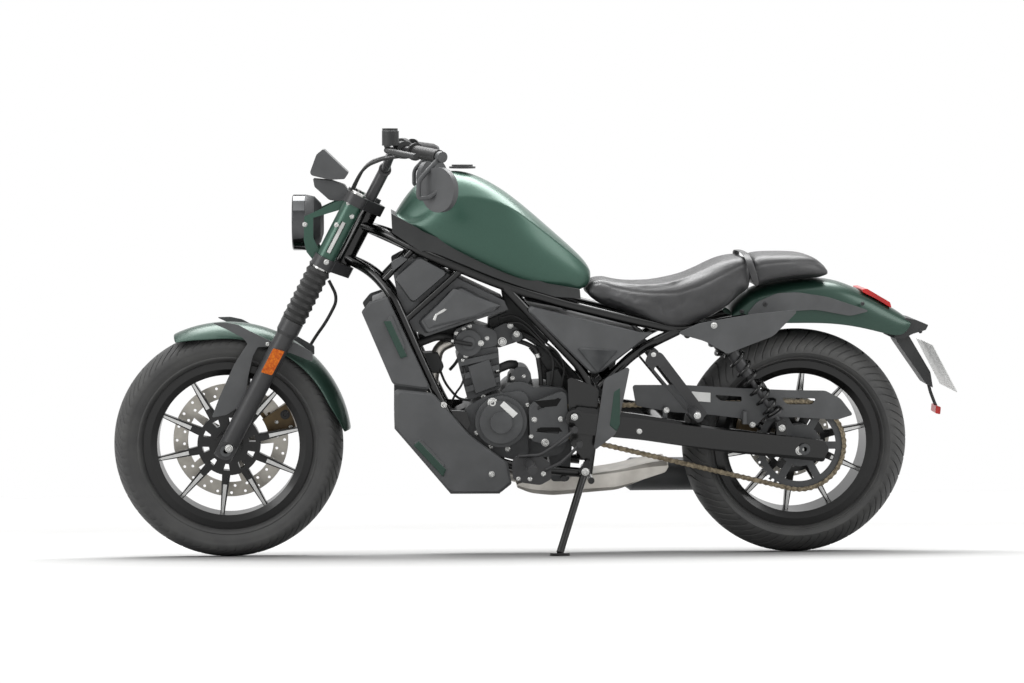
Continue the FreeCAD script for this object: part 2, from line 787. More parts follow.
LEG_OUT = size("frame_half_width")
HEAD_OUT = size("head_half_width")
UPPER_RAIL = (((363, 226), HEAD_OUT / 2), ((386, 234), HEAD_OUT * 2), ((425, 254), LEG_OUT),
              ((503, 286), LEG_OUT), ((560, 303), LEG_OUT), ((640, 322), LEG_OUT),
              ((680, 330), LEG_OUT), ((745, 318), LEG_OUT - GAP * 40))
DOWN_TUBE = (((347, 258), HEAD_OUT / 2), ((372, 272), HEAD_OUT * 2), ((393, 296), LEG_OUT),
             ((425, 369), LEG_OUT), ((450, 421), LEG_OUT), ((481, 455), LEG_OUT),
             ((512, 467), LEG_OUT), ((587, 474), LEG_OUT))
DIAGONAL = (((504, 287), LEG_OUT), ((599, 387), LEG_OUT), ((588, 474), LEG_OUT))
SEAT_STAY = (((599, 387), LEG_OUT), ((636, 350), LEG_OUT), ((677, 330), LEG_OUT))
FRONT_STRUT = (((413, 249), LEG_OUT * 0.85), ((384, 279), LEG_OUT * 0.78))
MIDDLE_STRUT = (((460, 270), LEG_OUT), ((405, 320), LEG_OUT))
HEAD_BACKBONE = (((363, 226), 0), ((425, 254), 0))
CROSS_PIXELS = ((425, 254), (560, 303), (680, 330), (744, 318), (587, 474))
PIVOT_PLATE = ((567, 376), (599, 388), (594, 454), (585, 462), (570, 444))
FRONT_EAR = ((445, 410), (466, 411), (470, 424), (466, 432), (452, 428))
FRONT_MOUNT = (462, 421)
REAR_MOUNT = (560, 472)


def frame_tubes(grown):
    """The frame's tubes on both sides, each thicker all round by the given gap."""
    rail = size("rail_radius") + grown
    strut = size("strut_radius") + grown
    half = [tube(on_sides(route), rail) for route in (UPPER_RAIL, DOWN_TUBE, DIAGONAL, SEAT_STAY)]
    half += [tube(on_sides(route), strut) for route in (FRONT_STRUT, MIDDLE_STRUT)]
    whole = [tube(on_sides(HEAD_BACKBONE), rail)]
    whole += [across(side(pixel, 0), strut, LEG_OUT, -LEG_OUT) for pixel in CROSS_PIXELS]
    return half + [mirrored(shape) for shape in half] + whole


ROOM = joined(frame_tubes(GAP))
PIVOT = Vector(size("pivot_x"), 0, size("pivot_z"))
ARM_FACE = size("arm_inner_y")
ARM_OUT = size("arm_inner_y + arm_thickness")


def upright_head():
    """The head tube between the two clamps, in the fork's frame."""
    low = size("lower_clamp_low + clamp_thickness + running_gap")
    high = size("upper_clamp_low - running_gap")
    outer = Part.makeCylinder(size("head_tube_radius"), high - low, Vector(size("steering_offset"), 0, low))
    return outer


def head_bore():
    low = size("lower_clamp_low")
    return Part.makeCylinder(size("stem_radius") + GAP, size("upper_clamp_low") - low + OVERRUN,
                             Vector(size("steering_offset"), 0, low))


STAND_PIVOT = Vector(size("stand_pivot_x"), -size("stand_pivot_y"), size("stand_pivot_z"))
LEAN = math.radians(size("lean_angle"))
LIFT = size("(front_crown_radius + rear_crown_radius) / 2") * (1 - math.cos(LEAN))
GROUND_UP = Vector(0, math.sin(LEAN), math.cos(LEAN))
foot_y = -size("stand_pivot_y + stand_foot_out")
STAND_FOOT = Vector(size("stand_pivot_x - stand_foot_forward"), foot_y,
                    (-LIFT - foot_y * math.sin(LEAN)) / math.cos(LEAN))
leg_way = (STAND_FOOT - STAND_PIVOT).normalize()
STAND_AXIS = Vector(0, -leg_way.z, leg_way.y).normalize()

cheek_in = size("stand_eye_thickness") / 2 + GAP
cheek_out = cheek_in + size("stand_cheek_thickness")
BRIDGE = STAND_PIVOT - leg_way * (size("stand_eye_radius + stand_bolt_radius") + 2 * GAP)
STAND_TUBE = side((581, 473.4), -LEG_OUT)
cheek_side = STAND_AXIS.cross(leg_way) * size("stand_eye_radius - 2 * disc_thickness / 2")
stand_bracket = [
    bar(STAND_PIVOT - STAND_AXIS * cheek_out, STAND_PIVOT + STAND_AXIS * cheek_out,
        size("stand_bolt_radius")),
    bar(BRIDGE - STAND_AXIS * cheek_out, BRIDGE + STAND_AXIS * cheek_out, size("stand_bolt_radius")),
    bar(BRIDGE + STAND_AXIS * cheek_out, STAND_TUBE, size("stand_bolt_radius")),
]
for sign in (1, -1):
    start = STAND_AXIS * cheek_in * sign
    end = STAND_AXIS * size("stand_cheek_thickness") * sign
    outline = [STAND_PIVOT + cheek_side, BRIDGE + cheek_side, BRIDGE - cheek_side, STAND_PIVOT - cheek_side]
    face = Part.Face(Part.makePolygon([place + start for place in outline + outline[:1]]))
    stand_bracket.append(face.extrude(end))
    stand_bracket.append(bar(STAND_PIVOT + start, STAND_PIVOT + start + end, cheek_side.Length))

SHOCK_TOP = side((714, 325), -size("shock_y"))
SHOCK_FOOT = side((783, 425), -size("shock_y"))
eye_in = size("shock_y - shock_eye_half_length") - GAP
eye_out = size("shock_y + shock_eye_half_length") + GAP
shock_pin = across(SHOCK_TOP, size("shock_bolt_radius"), eye_out + size("pivot_cap_radius"), LEG_OUT)
plate_out = size("panel_y") - GAP
plates = plate(PIVOT_PLATE, plate_out, plate_out - size("pivot_plate_thickness"), 0.15)
ears = plate(FRONT_EAR, LEG_OUT, LEG_OUT - size("mount_shaft_radius"), 0.2)
caps = across(PIVOT, size("pivot_cap_radius"), ARM_OUT + GAP + size("axle_nut_length"), ARM_OUT + GAP)
frame_shape = joined(
    frame_tubes(0) + [forked(upright_head())]
    + [plates, mirrored(plates), ears, mirrored(ears), caps, mirrored(caps)]
    + [shock_pin, mirrored(shock_pin)] + stand_bracket
    + [across(PIVOT, size("pivot_shaft_radius"), ARM_OUT + GAP, -ARM_OUT - GAP)]
    + [across(side(pixel, 0), size("mount_shaft_radius"), LEG_OUT, -LEG_OUT)
       for pixel in (FRONT_MOUNT, REAR_MOUNT)]
)
frame_shape = carved(frame_shape, [forked(head_bore())])
node(frame_shape, "frame")

# Side stand

foot_centre = STAND_FOOT + GROUND_UP * size("stand_foot_thickness")
eye = bar(STAND_PIVOT - STAND_AXIS * size("stand_eye_thickness") / 2,
          STAND_PIVOT + STAND_AXIS * size("stand_eye_thickness") / 2, size("stand_eye_radius"))
leg_start = STAND_PIVOT + leg_way * size("stand_eye_radius - plate_thickness")
leg_shape = bar(leg_start, foot_centre, size("stand_leg_radius"))
leg_shape = carved(leg_shape, [bar(STAND_FOOT, STAND_FOOT - GROUND_UP * OVERRUN * 2, OVERRUN * 3)])
foot = Part.makeCylinder(size("stand_foot_radius"), size("stand_foot_thickness"), STAND_FOOT, GROUND_UP)
stand = carved(joined([eye, leg_shape, foot]), [bar(
    STAND_PIVOT - STAND_AXIS * OVERRUN, STAND_PIVOT + STAND_AXIS * OVERRUN, size("stand_bolt_radius") + GAP)])
node(stand, "side_stand")

# Swingarm with its brace, spools' bores and the shock absorbers' lower brackets

ARM_OUTLINE = ((575, 407), (640, 415), (717.6, 428.4), (793, 437.6), (827.8, 442.7), (833, 453),
               (827.8, 464), (791, 460), (721.6, 452.9), (640, 440.6), (575, 433))
ARM_EDGE_SHARE = 0.84
arm_edge = size("disc_thickness")
arm = layered(ARM_OUTLINE, ARM_OUT, (
    (-ARM_OUT, 1, ARM_EDGE_SHARE), (-ARM_OUT + arm_edge, 1, 1), (-ARM_FACE - arm_edge, 1, 1),
    (-ARM_FACE, 1, ARM_EDGE_SHARE),
), 0.2)
arm_boss = across(PIVOT, size("pivot_boss_radius"), ARM_OUT, size("panel_y"))
lugs = []
for outer, inner in ((ARM_OUT + GAP * 5, eye_out), (eye_in, ARM_FACE)):
    lugs.append(across(SHOCK_FOOT, size("shock_eye_radius"), outer, inner))
    web = Part.makeBox(2 * size("shock_eye_radius"), outer - inner, 2 * size("shock_eye_radius"),
                       SHOCK_FOOT + Vector(-size("shock_eye_radius"), 0, -2 * size("shock_eye_radius")))
    web.translate(Vector(0, -outer - SHOCK_FOOT.y, 0))
    lugs.append(web)
lugs.append(across(SHOCK_FOOT, size("shock_bolt_radius"), ARM_OUT, ARM_FACE))
arms = joined([arm, arm_boss] + lugs)
BRACE = side((656, 421), 0)
swingarm = joined([arms, mirrored(arms),
                   across(BRACE, size("arm_brace_radius"), ARM_FACE + GAP, -ARM_FACE - GAP)])
swingarm = carved(swingarm, [
    across(PIVOT, size("pivot_shaft_radius") + GAP, ARM_OUT + OVERRUN, -ARM_OUT - OVERRUN),
    across(REAR_AXLE, size("axle_radius") + GAP, ARM_OUT + OVERRUN, -ARM_OUT - OVERRUN),
])
node(swingarm, "swingarm")

# Shock absorbers: a body and a rod between eyes, with a spring between two plates

shock_way = SHOCK_FOOT - SHOCK_TOP
shock_length = shock_way.Length
shock_way = shock_way / shock_length
PLATE_START = 2.2 * size("shock_eye_radius")
plate_thick = size("stand_cheek_thickness")
spring_start = PLATE_START + plate_thick
spring_end = shock_length - PLATE_START - plate_thick


def on_shock(distance):
    return SHOCK_TOP + shock_way * distance


shock = joined([
    across(SHOCK_TOP, size("shock_eye_radius"), eye_out - GAP, eye_in + GAP),
    across(SHOCK_FOOT, size("shock_eye_radius"), eye_out - GAP, eye_in + GAP),
    bar(on_shock(0), on_shock(shock_length), size("shock_rod_radius")),
    bar(on_shock(PLATE_START), on_shock(spring_start), size("spring_plate_radius")),
    bar(on_shock(spring_end), on_shock(spring_end + plate_thick), size("spring_plate_radius")),
    bar(on_shock(PLATE_START), on_shock(shock_length / 2), size("shock_body_radius")),
])
shock = carved(shock, [
    across(SHOCK_TOP, size("shock_bolt_radius") + GAP, eye_out + OVERRUN, eye_in - OVERRUN),
    across(SHOCK_FOOT, size("shock_bolt_radius") + GAP, eye_out + OVERRUN, eye_in - OVERRUN),
])
node(pair(shock), "shock_absorbers")

turns = int(size("spring_turns"))
spring_length = spring_end - spring_start - 2 * GAP
inner = size("spring_radius - spring_wire_radius")
outer = size("spring_radius + spring_wire_radius")
step = spring_length / turns
wave = [Vector(inner, 0, 0)]
for index in range(turns):
    wave.append(Vector(outer - size("spring_wire_radius"), 0, step * index))
    wave.append(Vector(outer, 0, step * (index + 0.5)))
wave.append(Vector(outer - size("spring_wire_radius"), 0, spring_length))
wave.append(Vector(inner, 0, spring_length))
spring = Part.Face(Part.makePolygon(wave + wave[:1])).revolve(Vector(), Vector(0, 0, 1), 360)
spring.Placement = Placement(on_shock(spring_start + GAP), Rotation(Vector(0, 0, 1), shock_way))
node(pair(spring), "shock_springs")

# Chain: two plates' bands round the sprockets, held apart by rollers along the straight runs

CHAIN_FRONT = Vector(size("front_sprocket_x"), 0, size("front_sprocket_z"))


def belt(front_radius, rear_radius, outer, inner):
    """A band round both sprockets, filled, from y = -outer to y = -inner."""
    way = REAR_AXLE - CHAIN_FRONT
    distance = way.Length
    base = math.atan2(way.z, way.x)
    spread = math.acos((front_radius - rear_radius) / distance)
    corners = []
    for angle in (base + spread, base - spread):
        normal = Vector(math.cos(angle), 0, math.sin(angle))
        corners.append((CHAIN_FRONT + normal * front_radius, REAR_AXLE + normal * rear_radius))
    (top_front, top_rear), (low_front, low_rear) = corners
    rear_far = REAR_AXLE + way / distance * rear_radius
    front_far = CHAIN_FRONT - way / distance * front_radius
    wire = Part.Wire([
        Part.makeLine(top_front, top_rear), Part.Arc(top_rear, rear_far, low_rear).toShape(),
        Part.makeLine(low_rear, low_front), Part.Arc(low_front, front_far, top_front).toShape(),
    ])
    wire.translate(Vector(0, -outer, 0))
    return Part.Face(wire).extrude(Vector(0, outer - inner, 0)), corners


reach = size("chain_half_height")
plate_levels = (
    (size("chain_y + chain_half_width"), size("chain_y + chain_inner_half_width")),
    (size("chain_y - chain_inner_half_width"), size("chain_y - chain_half_width")),
)
bands = []
for outer, inner in plate_levels:
    filled, runs = belt(FRONT_PITCH_RADIUS + reach, REAR_PITCH_RADIUS + reach, outer, inner)
    hollow, runs = belt(FRONT_PITCH_RADIUS - reach, REAR_PITCH_RADIUS - reach,
                        outer + OVERRUN, inner - OVERRUN)
    bands.append(filled.cut(hollow))
pitch_line, pitch_runs = belt(FRONT_PITCH_RADIUS, REAR_PITCH_RADIUS, reach, 0)
for start, end in pitch_runs:
    way = end - start
    for share in (0.12, 0.27, 0.42, 0.57, 0.72):
        bands.append(across(start + way * share, size("chain_roller_radius"),
                            plate_levels[0][0] - GAP, plate_levels[1][1] + GAP))
node(joined(bands), "drive_chain")

front_pitch = "(chain_pitch / (2 * sin(180 / front_teeth)))"
gear = body("front_sprocket", Placement(CHAIN_FRONT - Vector(0, size("chain_y"), 0), Rotation()))
turned(gear, sketch(gear, "XY_Plane", [
    ("0", "sprocket_thickness / 2"),
    (f"{front_pitch} + tooth_height", "sprocket_thickness / 2"),
    (f"{front_pitch} + tooth_height", "-sprocket_thickness / 2"),
    ("0", "-sprocket_thickness / 2"),
]))
turned(gear, sketch(gear, "XY_Plane", [
    ("0", "chain_y - engine_chain_side_y - seat_gap"),
    ("axle_collar_radius", "chain_y - engine_chain_side_y - seat_gap"),
    ("axle_collar_radius", "0"),
    ("0", "0"),
]))
tooth_gap = pocket(gear, sketch(gear, "XZ_Plane", circles=[(front_pitch, "0", "chain_roller_radius")]),
                   "sprocket_thickness + overrun")
round_pattern(gear, tooth_gap, "front_teeth")

GUARD_OUTLINE = ((632, 385), (682.5, 385), (745, 388.5), (790, 390.5), (827.5, 391), (843, 399), (856, 415.5),
                 (840, 420.5), (797.5, 418), (766, 417.5), (758, 426), (750, 426), (742.5, 419),
                 (710, 415), (672.5, 412.5), (636, 406))
GUARD_SLOTS = (((716, 396), (744, 398), (744, 403), (722, 402)),
               ((784, 399), (820, 400), (816, 406), (790, 406)))
guard_in = size("chain_y + chain_half_width + rim_wall")
guard = plate(GUARD_OUTLINE, guard_in + size("rear_fender_wall"), guard_in, 0.15)
guard = carved(guard, [plate(slot, ARM_FACE, 0, 0.3) for slot in GUARD_SLOTS])
for pixel in ((662, 406), (742, 410)):
    spot = side(pixel, -size("chain_y"))
    drop = Part.makeBox(2 * size("disc_thickness"), ARM_FACE - GAP - guard_in,
                        size("pivot_boss_radius + tyre_wall"), Vector(
                            spot.x, -(ARM_FACE - GAP), spot.z - size("pivot_boss_radius + tyre_wall")))
    guard = joined([guard, drop])
node(guard, "chain_guard")


# Engine: cases, a finned cylinder and the lugs that its mounting shafts pass

CASE = ((463, 408), (488, 395), (540, 386), (567, 388), (571, 440), (560, 455), (520, 462), (482, 452),
        (463, 432))
CASE_FRONT = ((463, 408), (488, 395), (528, 389), (528, 455), (520, 462), (482, 452), (463, 432))
CYLINDER = ((467, 400), (500, 388), (497, 345), (455, 353))
HEAD = ((455, 353), (497, 345), (495, 330), (470, 322), (452, 330))
FRONT_LUG = ((454, 412), (470, 404), (470, 434), (454, 430))
REAR_LUG = ((548, 452), (572, 440), (569, 482), (551, 482))
FIN_SHARES = (0.22, 0.5, 0.78)
FIN_THICKNESS_SHARE = 0.06
CAM_CAP_PX = (467.5, 342.5)
THROTTLE_BODY = ((489, 330), (504, 322), (516, 327), (520, 335), (511, 342.5), (497, 347), (490, 346))
FUEL_RAIL_PX = (514, 333)
STARTER_PX = (518.5, 373)
STARTER_FOOT = ((508, 372), (529, 372), (534, 394), (504, 394))
GEAR_CASE_PX = (519, 402)
HEAD_OUT_SHARE = 0.85

ENGINE_OUT = size("engine_half_width")
CHAIN_SIDE = size("engine_chain_side_y")
case = joined([
    plate(CASE, CHAIN_SIDE, -ENGINE_OUT, 0.3),
    plate(CASE_FRONT, ENGINE_OUT, CHAIN_SIDE - GAP, 0.3),
    plate(FRONT_LUG, CHAIN_SIDE * 0.6, -CHAIN_SIDE * 0.6, 0.2),
    plate(REAR_LUG, CHAIN_SIDE * 0.6, -CHAIN_SIDE * 0.6, 0.2),
    plate(CYLINDER, CHAIN_SIDE * 0.75, -CHAIN_SIDE * 0.75, 0.1),
    plate(HEAD, CHAIN_SIDE * HEAD_OUT_SHARE, -CHAIN_SIDE * HEAD_OUT_SHARE, 0.3),
    across(side(CAM_CAP_PX, -CHAIN_SIDE), size("cam_cap_radius"), CHAIN_SIDE, -CHAIN_SIDE * HEAD_OUT_SHARE),
    across(side(CAM_CAP_PX, -CHAIN_SIDE), size("cam_cap_radius / 2"), CHAIN_SIDE + size("rim_wall"), 0),
    plate(THROTTLE_BODY, CHAIN_SIDE / 2, -CHAIN_SIDE / 2, 0.25),
    across(side(FUEL_RAIL_PX, 0), size("stem_radius"), CHAIN_SIDE * HEAD_OUT_SHARE, -CHAIN_SIDE / 2),
    plate(STARTER_FOOT, CHAIN_SIDE / 3, -CHAIN_SIDE / 3, 0.15),
    across(side(STARTER_PX, 0), size("starter_radius"), CHAIN_SIDE * 0.75, -CHAIN_SIDE / 2),
    across(side(GEAR_CASE_PX, -ENGINE_OUT), size("starter_radius * 2"), CHAIN_SIDE, -ENGINE_OUT),
])
fins = []
for share in FIN_SHARES:
    lower, upper = share - FIN_THICKNESS_SHARE, share + FIN_THICKNESS_SHARE
    strip = []
    for foot_pixel, top_pixel, at in (
        (CYLINDER[0], CYLINDER[3], lower), (CYLINDER[1], CYLINDER[2], lower),
        (CYLINDER[1], CYLINDER[2], upper), (CYLINDER[0], CYLINDER[3], upper),
    ):
        strip.append(tuple(low + (top - low) * at for low, top in zip(foot_pixel, top_pixel)))
    fins.append(plate(strip, CHAIN_SIDE * 0.95, -CHAIN_SIDE * 0.95))
engine = carved(joined([case] + fins), [
    across(side(pixel, 0), size("mount_shaft_radius") + GAP, ENGINE_OUT + OVERRUN, -ENGINE_OUT - OVERRUN)
    for pixel in (FRONT_MOUNT, REAR_MOUNT)
] + [across(PIVOT, size("pivot_shaft_radius") + 2 * GAP, ENGINE_OUT + OVERRUN, -ENGINE_OUT - OVERRUN)])
node(engine, "engine")

SPROCKET_COVER = ((528, 404), (566, 389), (569, 440), (556, 448), (530, 441))
SPROCKET_COVER_SLOTS = (((538, 408), (560, 399), (560, 403), (538, 412)),
                        ((538, 430), (560, 432), (560, 436), (538, 434)))
GENERATOR = side((501, 422.5), -size("cover_face_y"))
CLUTCH = side((515, 420), size("cover_face_y"))
FACE = size("cover_face_y")
CHAIN_OUT = size("chain_y + chain_half_width + tyre_wall")
generator = joined([
    across(GENERATOR, size("generator_radius"), FACE - size("rim_wall") * 2, ENGINE_OUT + GAP),
    across(GENERATOR, size("generator_radius - rim_wall * 2"), FACE, ENGINE_OUT + GAP),
    across(GENERATOR, size("generator_boss_radius"), FACE + size("rim_wall"), ENGINE_OUT + GAP),
])
SPROCKET_FACE = size("panel_y - rim_wall")
sprocket_cover = joined([plate(SPROCKET_COVER, SPROCKET_FACE, CHAIN_OUT, 0.2)] + [
    across(side(pixel, -FACE), size("rim_wall"), SPROCKET_FACE - GAP, CHAIN_SIDE + GAP)
    for pixel in ((533, 411), (533, 437))
])
sprocket_cover = carved(sprocket_cover, [
    plate(slot, FACE + OVERRUN, SPROCKET_FACE - size("rim_wall"), 0.3) for slot in SPROCKET_COVER_SLOTS
] + [across(GENERATOR, size("generator_radius") + GAP * 3, FACE + OVERRUN, 0)])
sprocket_cover = carved(sprocket_cover, [plate(CASE_FRONT, ENGINE_OUT + GAP, CHAIN_SIDE - GAP * 2, 0.3)])
clutch = joined([
    across(CLUTCH, size("clutch_radius"), -ENGINE_OUT - GAP, -FACE + size("rim_wall") * 2),
    across(CLUTCH, size("clutch_radius - rim_wall * 3"), -ENGINE_OUT - GAP, -FACE),
])
node(Part.makeCompound([generator, sprocket_cover, clutch]), "engine_covers")

# Exhaust: one pipe from the head, under the engine, to a silencer on the right

SILENCER_Y = size("silencer_y")
HEADER_ROUTE = (((451, 339), 0), ((437, 347), 0), ((430, 388), 0), ((440, 430), -12), ((472, 465), -35),
                ((503, 473), -45), ((530, 481), -50), ((562, 484), -60), ((590, 480), -112),
                ((606, 474), -SILENCER_Y), ((616, 474), -SILENCER_Y))
HEAD_FACE = plate(HEAD, CHAIN_SIDE, -CHAIN_SIDE, 0.3)
header_points = [side(pixel, -out) for pixel, out in HEADER_ROUTE]
header_points[0] = header_points[0] + Vector(size("header_radius") / 3, 0, 0)
header = tube(header_points, size("header_radius - disc_thickness"), 0.4)
header = carved(header, [HEAD_FACE.translated(Vector(-GAP, 0, 0)), HEAD_FACE])
COLLECTOR = ((513, 487), (530, 494), (552, 496.5), (618, 491), (640, 482.5), (666, 471), (670, 461), (647, 464),
             (618, 471), (590, 475), (560, 478), (530, 482))
COLLECTOR_EDGE_SHARE = 0.72
collector_left = size("header_radius * 2")
collector_right = size("header_radius * 4")
collector_edge = size("rim_wall")
collector = layered(COLLECTOR, collector_left, (
    (-collector_left, 1, COLLECTOR_EDGE_SHARE), (-collector_left + collector_edge, 1, 1),
    (collector_right - collector_edge, 1, 1), (collector_right, 1, COLLECTOR_EDGE_SHARE),
), 0.3)
collector = carved(collector, [ROOM, engine, engine.translated(Vector(0, 0, -GAP)),
                               engine.translated(Vector(GAP, 0, 0))])
header = joined([header, max(collector.Solids, key=lambda solid: solid.Volume)])
node(header, "exhaust_header")

silencer_start = header_points[-1] + Vector(2 * GAP, 0, 0)
silencer_end = Vector(side((706, 471), SILENCER_Y).x, silencer_start.y, silencer_start.z)
silencer_radius = size("silencer_radius") * 0.9
cone = size("silencer_radius") * 0.7
profile = [
    Vector(0, 0, 0), Vector(size("header_radius"), 0, 0), Vector(silencer_radius, 0, cone),
    Vector(silencer_radius, 0, (silencer_end - silencer_start).Length - cone / 2),
    Vector(silencer_radius * 0.8, 0, (silencer_end - silencer_start).Length),
    Vector(size("header_radius") * 0.6, 0, (silencer_end - silencer_start).Length),
    Vector(size("header_radius") * 0.6, 0, (silencer_end - silencer_start).Length - cone),
    Vector(0, 0, (silencer_end - silencer_start).Length - cone),
]
silencer = Part.Face(Part.makePolygon(profile + profile[:1])).revolve(Vector(), Vector(0, 0, 1), 360)
silencer.Placement = Placement(silencer_start, Rotation(Vector(0, 0, 1), silencer_end - silencer_start))
node(silencer, "silencer")

# Radiator and the panels round it

RADIATOR = ((372, 303), (387, 297), (421, 373), (404, 381))
SHROUD = ((361.6, 311.7), (369.5, 302), (387, 296), (431, 390), (393, 385))
SHROUD_ISLAND = ((384, 322), (391, 312), (406, 348), (401, 357))
BELLY = ((394.3, 389), (432.8, 393), (470, 436), (508, 464), (512, 485), (500, 494.6), (450.6, 494.6),
         (394.3, 428.4))
BELLY_FLOOR = ((394.3, 426), (450.6, 492.4), (500, 492.4), (500, 494.6), (450.6, 494.6), (394.3, 428.4))
BELLY_ISLAND = ((412, 442), (420, 438), (446, 466), (440, 474))
PANEL_IN = size("panel_y")
PANEL_OUT = size("panel_face_y")
RISE = size("panel_island_rise")
radiator = carved(plate(RADIATOR, size("radiator_half_width"), -size("radiator_half_width")), [ROOM])
node(radiator, "radiator")

# Coolant hoses: from the head to the radiator's top tank, and from its lower tank back to the pump

COOLANT_ROUTES = (
    (((456, 339), 50), ((437, 335), 54), ((422, 341), 56), ((398, 349), 56)),
    (((474, 418), 52), ((446, 412), 56), ((432, 388), 60), ((406, 372), 60)),
)
hoses = []
for route in COOLANT_ROUTES:
    hose = tube(on_sides(route), size("coolant_hose_radius"), 0.45)
    hoses.append(carved(hose, [radiator.translated(Vector(GAP, 0, 0)), radiator,
                               engine.translated(Vector(-GAP, 0, 0)), engine, ROOM]))
node(together([max(hose.Solids, key=lambda solid: solid.Volume) for hose in hoses]), "coolant_hoses")


def panel(pixels, share=0.12):
    """A cover on the left: its face is smaller than its foot, so that its edges slope."""
    depth = PANEL_OUT - PANEL_IN
    return layered(pixels, PANEL_OUT, (
        (-PANEL_IN, 1, 1), (-(PANEL_IN + depth * 0.6), 1, 1), (-PANEL_OUT, 0.95, 0.95),
    ), share)


def island(pixels, share=0.2):
    return layered(pixels, PANEL_OUT, ((-(PANEL_OUT - RISE), 1, 1), (-(PANEL_OUT + RISE), 0.9, 0.9)), share)


shroud = carved(joined([panel(SHROUD), island(SHROUD_ISLAND)]), [ROOM])
node(pair(shroud), "radiator_shrouds")
belly = joined([panel(BELLY), island(BELLY_ISLAND)])
floor = plate(BELLY_FLOOR, PANEL_IN + RISE, -PANEL_IN - RISE)
node(carved(joined([belly, mirrored(belly), floor]), [ROOM]), "belly_pan")

# Tank on its black base

TANK = ((394.1, 213.8), (416.5, 181.5), (444.7, 170.2), (462.9, 170.7), (476.2, 174.9), (496.1, 185.7),
        (529.3, 211.4), (562.4, 240.4), (585.6, 262.8), (589, 273.5), (578.5, 292), (545.8, 288.5),
        (512.7, 279.4), (462.9, 256.1), (413.2, 231.3))
TANK_BASE = ((391, 214), (413, 226), (463, 248), (512.7, 272), (546, 283), (578.5, 289), (579.5, 298),
             (546, 296), (503, 289), (462, 272), (424, 254), (392, 233))
TANK_OUT = size("tank_half_width")
tank = layered(TANK, TANK_OUT * 0.6, (
    (-TANK_OUT, 0.62, 0.3), (-TANK_OUT * 0.93, 0.86, 0.62), (-TANK_OUT * 0.6, 1, 0.95), (0, 1, 1),
    (TANK_OUT * 0.6, 1, 0.95), (TANK_OUT * 0.93, 0.86, 0.62), (TANK_OUT, 0.62, 0.3),
), 0.25)
node(tank, "fuel_tank")
FILLER = side((462, 170.2), -TANK_OUT * 0.6)
FILLER.y = 0
cap = joined([
    Part.makeCylinder(size("hub_radius"), size("disc_thickness"), FILLER + Vector(0, 0, GAP)),
    Part.makeCylinder(size("hub_radius") * 0.8, 2 * size("disc_thickness"), FILLER + Vector(0, 0, GAP)),
])
node(cap, "filler_cap")
tank_base = plate(TANK_BASE, size("frame_half_width + disc_thickness"),
                  -size("frame_half_width + disc_thickness"))
tank_base = carved(tank_base, [ROOM, tank.translated(Vector(0, 0, -GAP)), tank])
node(tank_base, "tank_base")

# Boxes and panels between the frame's tubes

AIRBOX = ((392, 268), (412, 258), (440, 270), (503, 300), (507, 309), (425, 336), (405, 325), (398, 300))
AIRBOX_PANELS = (
    ((391, 262), (402, 256), (408, 259), (392, 272)),
    ((393.2, 278), (418.7, 256), (449, 272), (412, 304)),
    ((418, 322), (452, 289), (462, 287), (503, 308), (425, 334)),
)
BATTERY_BOX = ((524, 306), (560, 313), (640, 333), (648, 335), (598, 374))
SIDE_PANEL = ((519.8, 303.5), (640, 332), (653, 332.5), (594, 376.7))
EMBLEM = ((574, 346), (620.6, 350.3), (597, 368))
REAR_COVER = ((604, 379), (630, 366), (617, 434), (594, 452))
BOX_OUT = size("airbox_half_width")
AIRBOX_FACE = size("airbox_face_y")
airbox = plate(AIRBOX, BOX_OUT, -BOX_OUT)
for outline in AIRBOX_PANELS:
    raised = layered(outline, AIRBOX_FACE, ((-BOX_OUT, 1, 1), (-AIRBOX_FACE, 0.92, 0.92)), 0.15)
    airbox = joined([airbox, raised, mirrored(raised)])
airbox = carved(airbox, [ROOM, tank_base.translated(Vector(0, 0, -GAP)), tank_base])
battery_box = carved(plate(BATTERY_BOX, BOX_OUT, -BOX_OUT, 0.1), [ROOM])
node(together([airbox, battery_box]), "airbox")
pins = [across(side(pixel, -PANEL_IN), size("shock_rod_radius"), PANEL_IN + GAP, BOX_OUT + GAP)
        for pixel in ((545, 315), (630, 336), (595, 366))]
side_panel = carved(joined([panel(SIDE_PANEL), island(EMBLEM)] + pins), [ROOM])
rear_cover_in = ARM_OUT + 4 * GAP
rear_cover = joined([
    plate(REAR_COVER, rear_cover_in + size("disc_thickness"), rear_cover_in, 0.15),
    across(side((613, 374), -LEG_OUT), size("shock_rod_radius"), rear_cover_in + GAP, LEG_OUT),
])
rear_cover = carved(rear_cover, [ROOM])
node(together([pair(side_panel), pair(rear_cover)]), "side_panels")

# Rear fender, seats and tail

REAR_FENDER = ((727, 313), (738.6, 298.9), (753.9, 284.8), (789.6, 279), (825.3, 277), (853.4, 286.1),
               (878.9, 298.9), (904.4, 314.2), (909, 318.5), (900, 335.5), (873.8, 329.5),
               (840.6, 324.4), (789.6, 323.1), (745, 321))
FENDER_HOLLOW = ((760, 330), (760, 300), (789.6, 292), (825.3, 291), (853.4, 299), (878.9, 312),
                 (893, 320), (890, 345))
FENDER_OUT = size("rear_fender_half_width")
FENDER_WALL = size("rear_fender_wall")
fender = layered(REAR_FENDER, FENDER_OUT, (
    (-FENDER_OUT, 0.97, 0.72), (-FENDER_OUT * 0.8, 1, 0.97), (0, 1, 1), (FENDER_OUT * 0.8, 1, 0.97),
    (FENDER_OUT, 0.97, 0.72),
), 0.15)
hollow = plate(FENDER_HOLLOW, FENDER_OUT - 2 * FENDER_WALL, -FENDER_OUT + 2 * FENDER_WALL, 0.2)
